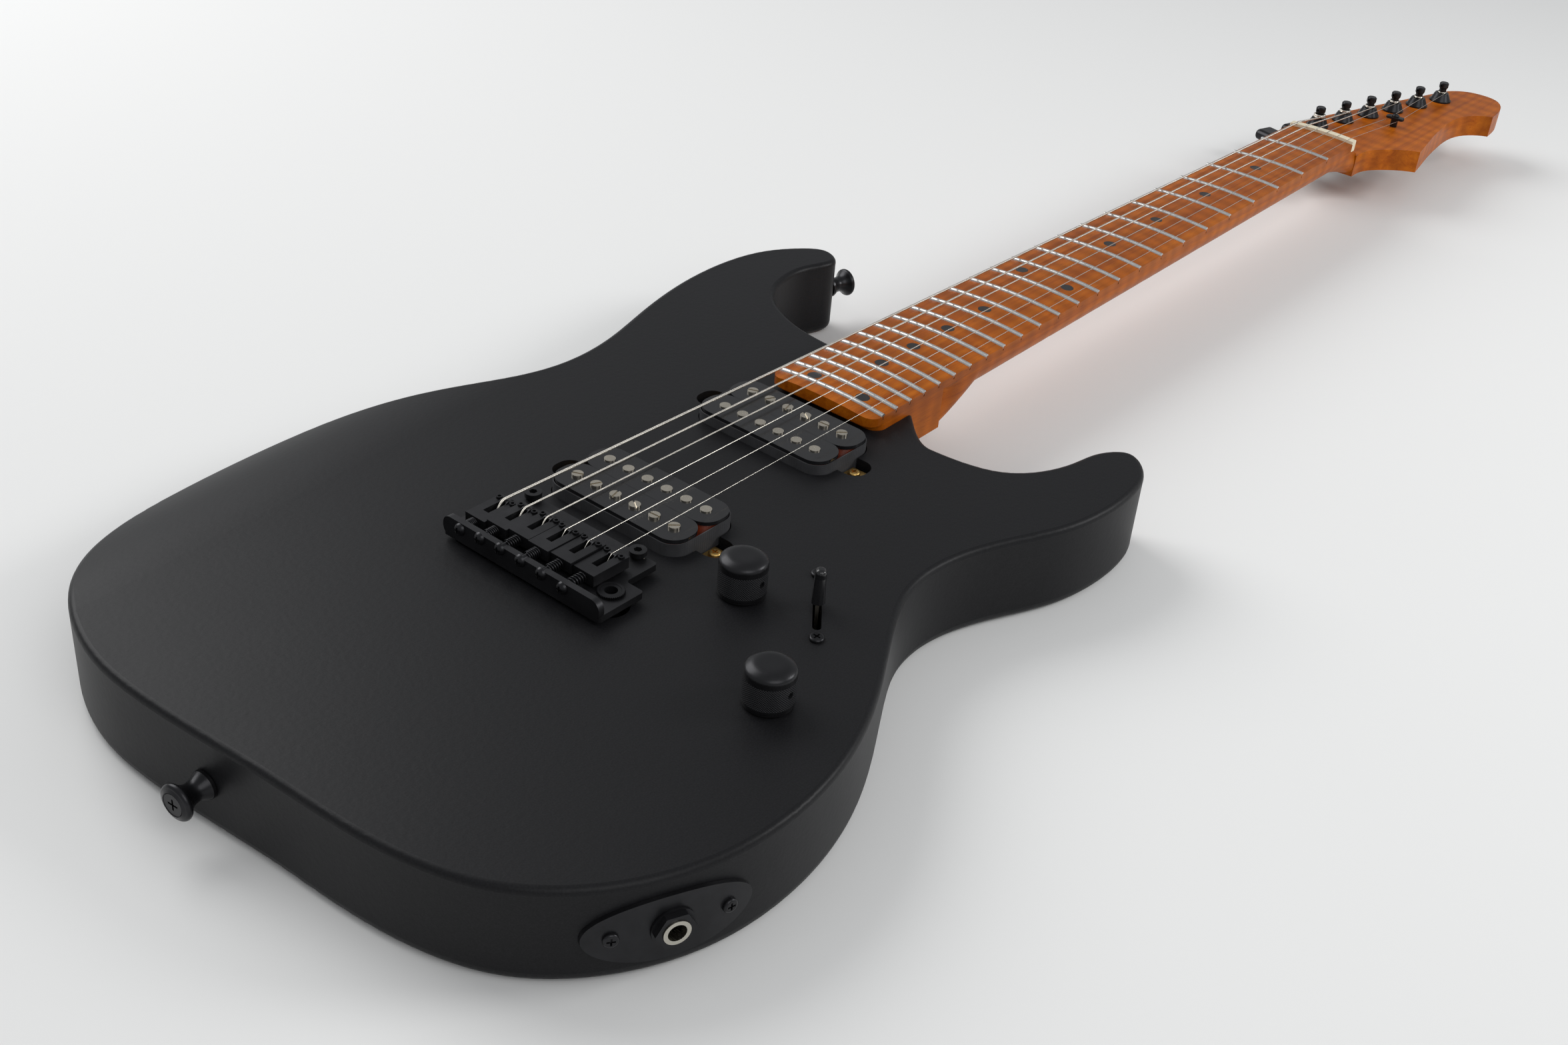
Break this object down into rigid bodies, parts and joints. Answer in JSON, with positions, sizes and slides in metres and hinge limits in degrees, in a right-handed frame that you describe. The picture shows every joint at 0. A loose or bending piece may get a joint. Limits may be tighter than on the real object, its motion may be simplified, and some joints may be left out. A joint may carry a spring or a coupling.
{
  "type": "electric guitar",
  "caption": "Solid-body electric guitar with two horns, bolt-on neck, two humbucking pickups, floating tremolo bridge, two knobs, blade switch and in-line head",
  "frame": {"origin": "on the flat back, under the middle of the saddle line, at the middle of the strings", "axes": "+X along the strings toward the head, +Y toward the bass string's side, +Z out of the top"},
  "size_m": [1.0197, 0.309, 0.0573],
  "materials": {
    "body_wood": "satin black lacquer",
    "neck_wood": "roasted maple, satin",
    "fretboard_wood": "roasted maple, satin",
    "fret_metal": "polished",
    "dot_inlay": "black",
    "nut_bone": "satin",
    "black_plastic": "satin",
    "bobbin_plastic": "satin",
    "tape": "matte",
    "coil_wire": "enamelled",
    "magnet": "raw",
    "nickel": "nickel plated",
    "brass": "plain",
    "black_metal": "black chrome",
    "block_metal": "plain",
    "string_wire": "plain and wound",
    "spring_wire": "coiled"
  },
  "bodies": {
    "guitar": {"body": "body_wood", "control_cover": "black_plastic", "spring_cover": "black_plastic", "cover_screws": "black_metal", "neck": "neck_wood", "fretboard": "fretboard_wood", "frets": "fret_metal", "fret_dots": "dot_inlay", "nut": "nut_bone", "truss_rod": "nickel", "string_tree": "black_metal", "panel_screws": "black_metal", "neck_screws": "black_metal", "neck_ferrules": "black_metal", "pickup_bobbins": "bobbin_plastic", "pickup_coils": "coil_wire", "pickup_tape": "tape", "pole_pieces": "nickel", "pickup_magnets": "magnet", "pickup_bases": "brass", "pickup_mount_screws": "brass", "jack_plate": "black_metal", "jack_socket": "nickel", "panel_nuts": "black_metal", "strap_buttons": "black_metal", "strap_screws": "black_metal", "potentiometers": "nickel", "switch_frame": "nickel", "bridge_studs": "black_metal", "stud_inserts": "nickel", "spring_claw": "nickel", "claw_screws": "nickel", "tremolo_springs": "spring_wire", "strings": "string_wire", "tuner_housings": "black_metal", "tuner_bushings": "black_metal"},
    "bridge": {"bridge_plate": "black_metal", "bridge_block": "block_metal", "saddles": "black_metal", "saddle_screws": "black_metal", "saddle_springs": "black_metal", "arm_socket": "black_metal"},
    "volume_control": {"volume_knob": "black_metal", "volume_shaft": "nickel"},
    "tone_control": {"tone_knob": "black_metal", "tone_shaft": "nickel"},
    "switch": {"switch_lever": "nickel", "switch_tip": "black_plastic"},
    "tuner_post_1": {"tuner_post_1": "black_metal"},
    "tuner_button_1": {"tuner_button_1": "black_metal"},
    "tuner_post_2": {"tuner_post_2": "black_metal"},
    "tuner_button_2": {"tuner_button_2": "black_metal"},
    "tuner_post_3": {"tuner_post_3": "black_metal"},
    "tuner_button_3": {"tuner_button_3": "black_metal"},
    "tuner_post_4": {"tuner_post_4": "black_metal"},
    "tuner_button_4": {"tuner_button_4": "black_metal"},
    "tuner_post_5": {"tuner_post_5": "black_metal"},
    "tuner_button_5": {"tuner_button_5": "black_metal"},
    "tuner_post_6": {"tuner_post_6": "black_metal"},
    "tuner_button_6": {"tuner_button_6": "black_metal"}
  },
  "joints": [
    {"name": "tremolo_pivot", "type": "hinge", "parent": "guitar", "child": "bridge", "pos_m": [0.01, 0, 0.0434], "axis": [0, 1, 0], "range_deg": [-2, 10], "stiffness_Nm_per_rad": 15, "deforming": ["strings", "tremolo_springs"]},
    {"name": "volume_turn", "type": "hinge", "parent": "guitar", "child": "volume_control", "pos_m": [0.0255, -0.0665, 0.048], "axis": [0, 0, 1], "range_deg": [0, 280]},
    {"name": "tone_turn", "type": "hinge", "parent": "guitar", "child": "tone_control", "pos_m": [-0.0175, -0.1155, 0.048], "axis": [0, 0, 1], "range_deg": [0, 280]},
    {"name": "switch_throw", "type": "hinge", "parent": "guitar", "child": "switch", "pos_m": [0.0395, -0.0915, 0.025], "axis": [0.6157, -0.788, 0], "range_deg": [-18, 18]},
    {"name": "tuner_button_1_turn", "type": "hinge", "parent": "guitar", "child": "tuner_button_1", "pos_m": [0.69603, 0.04136, 0.01855], "axis": [0.274, 0.9617, 0], "continuous": true},
    {"name": "tuner_post_1_turn", "type": "hinge", "parent": "guitar", "child": "tuner_post_1", "pos_m": [0.69, 0.0202, 0.04], "axis": [0, 0, 1], "continuous": true},
    {"name": "tuner_button_2_turn", "type": "hinge", "parent": "guitar", "child": "tuner_button_2", "pos_m": [0.71959, 0.03465, 0.01855], "axis": [0.274, 0.9617, 0], "continuous": true},
    {"name": "tuner_post_2_turn", "type": "hinge", "parent": "guitar", "child": "tuner_post_2", "pos_m": [0.71356, 0.01349, 0.04], "axis": [0, 0, 1], "continuous": true},
    {"name": "tuner_button_3_turn", "type": "hinge", "parent": "guitar", "child": "tuner_button_3", "pos_m": [0.74315, 0.02793, 0.01855], "axis": [0.274, 0.9617, 0], "continuous": true},
    {"name": "tuner_post_3_turn", "type": "hinge", "parent": "guitar", "child": "tuner_post_3", "pos_m": [0.73713, 0.00678, 0.04], "axis": [0, 0, 1], "continuous": true},
    {"name": "tuner_button_4_turn", "type": "hinge", "parent": "guitar", "child": "tuner_button_4", "pos_m": [0.76672, 0.02122, 0.01855], "axis": [0.274, 0.9617, 0], "continuous": true},
    {"name": "tuner_post_4_turn", "type": "hinge", "parent": "guitar", "child": "tuner_post_4", "pos_m": [0.76069, 0.00006, 0.04], "axis": [0, 0, 1], "continuous": true},
    {"name": "tuner_button_5_turn", "type": "hinge", "parent": "guitar", "child": "tuner_button_5", "pos_m": [0.79028, 0.01451, 0.01855], "axis": [0.274, 0.9617, 0], "continuous": true},
    {"name": "tuner_post_5_turn", "type": "hinge", "parent": "guitar", "child": "tuner_post_5", "pos_m": [0.78425, -0.00665, 0.04], "axis": [0, 0, 1], "continuous": true},
    {"name": "tuner_button_6_turn", "type": "hinge", "parent": "guitar", "child": "tuner_button_6", "pos_m": [0.81384, 0.0078, 0.01855], "axis": [0.274, 0.9617, 0], "continuous": true},
    {"name": "tuner_post_6_turn", "type": "hinge", "parent": "guitar", "child": "tuner_post_6", "pos_m": [0.80781, -0.01336, 0.04], "axis": [0, 0, 1], "continuous": true}
  ],
  "couplings": [
    {"joint": "tuner_post_1_turn", "follows": "tuner_button_1_turn", "ratio": 0.055556},
    {"joint": "tuner_post_2_turn", "follows": "tuner_button_2_turn", "ratio": 0.055556},
    {"joint": "tuner_post_3_turn", "follows": "tuner_button_3_turn", "ratio": 0.055556},
    {"joint": "tuner_post_4_turn", "follows": "tuner_button_4_turn", "ratio": 0.055556},
    {"joint": "tuner_post_5_turn", "follows": "tuner_button_5_turn", "ratio": 0.055556},
    {"joint": "tuner_post_6_turn", "follows": "tuner_button_6_turn", "ratio": 0.055556}
  ]
}
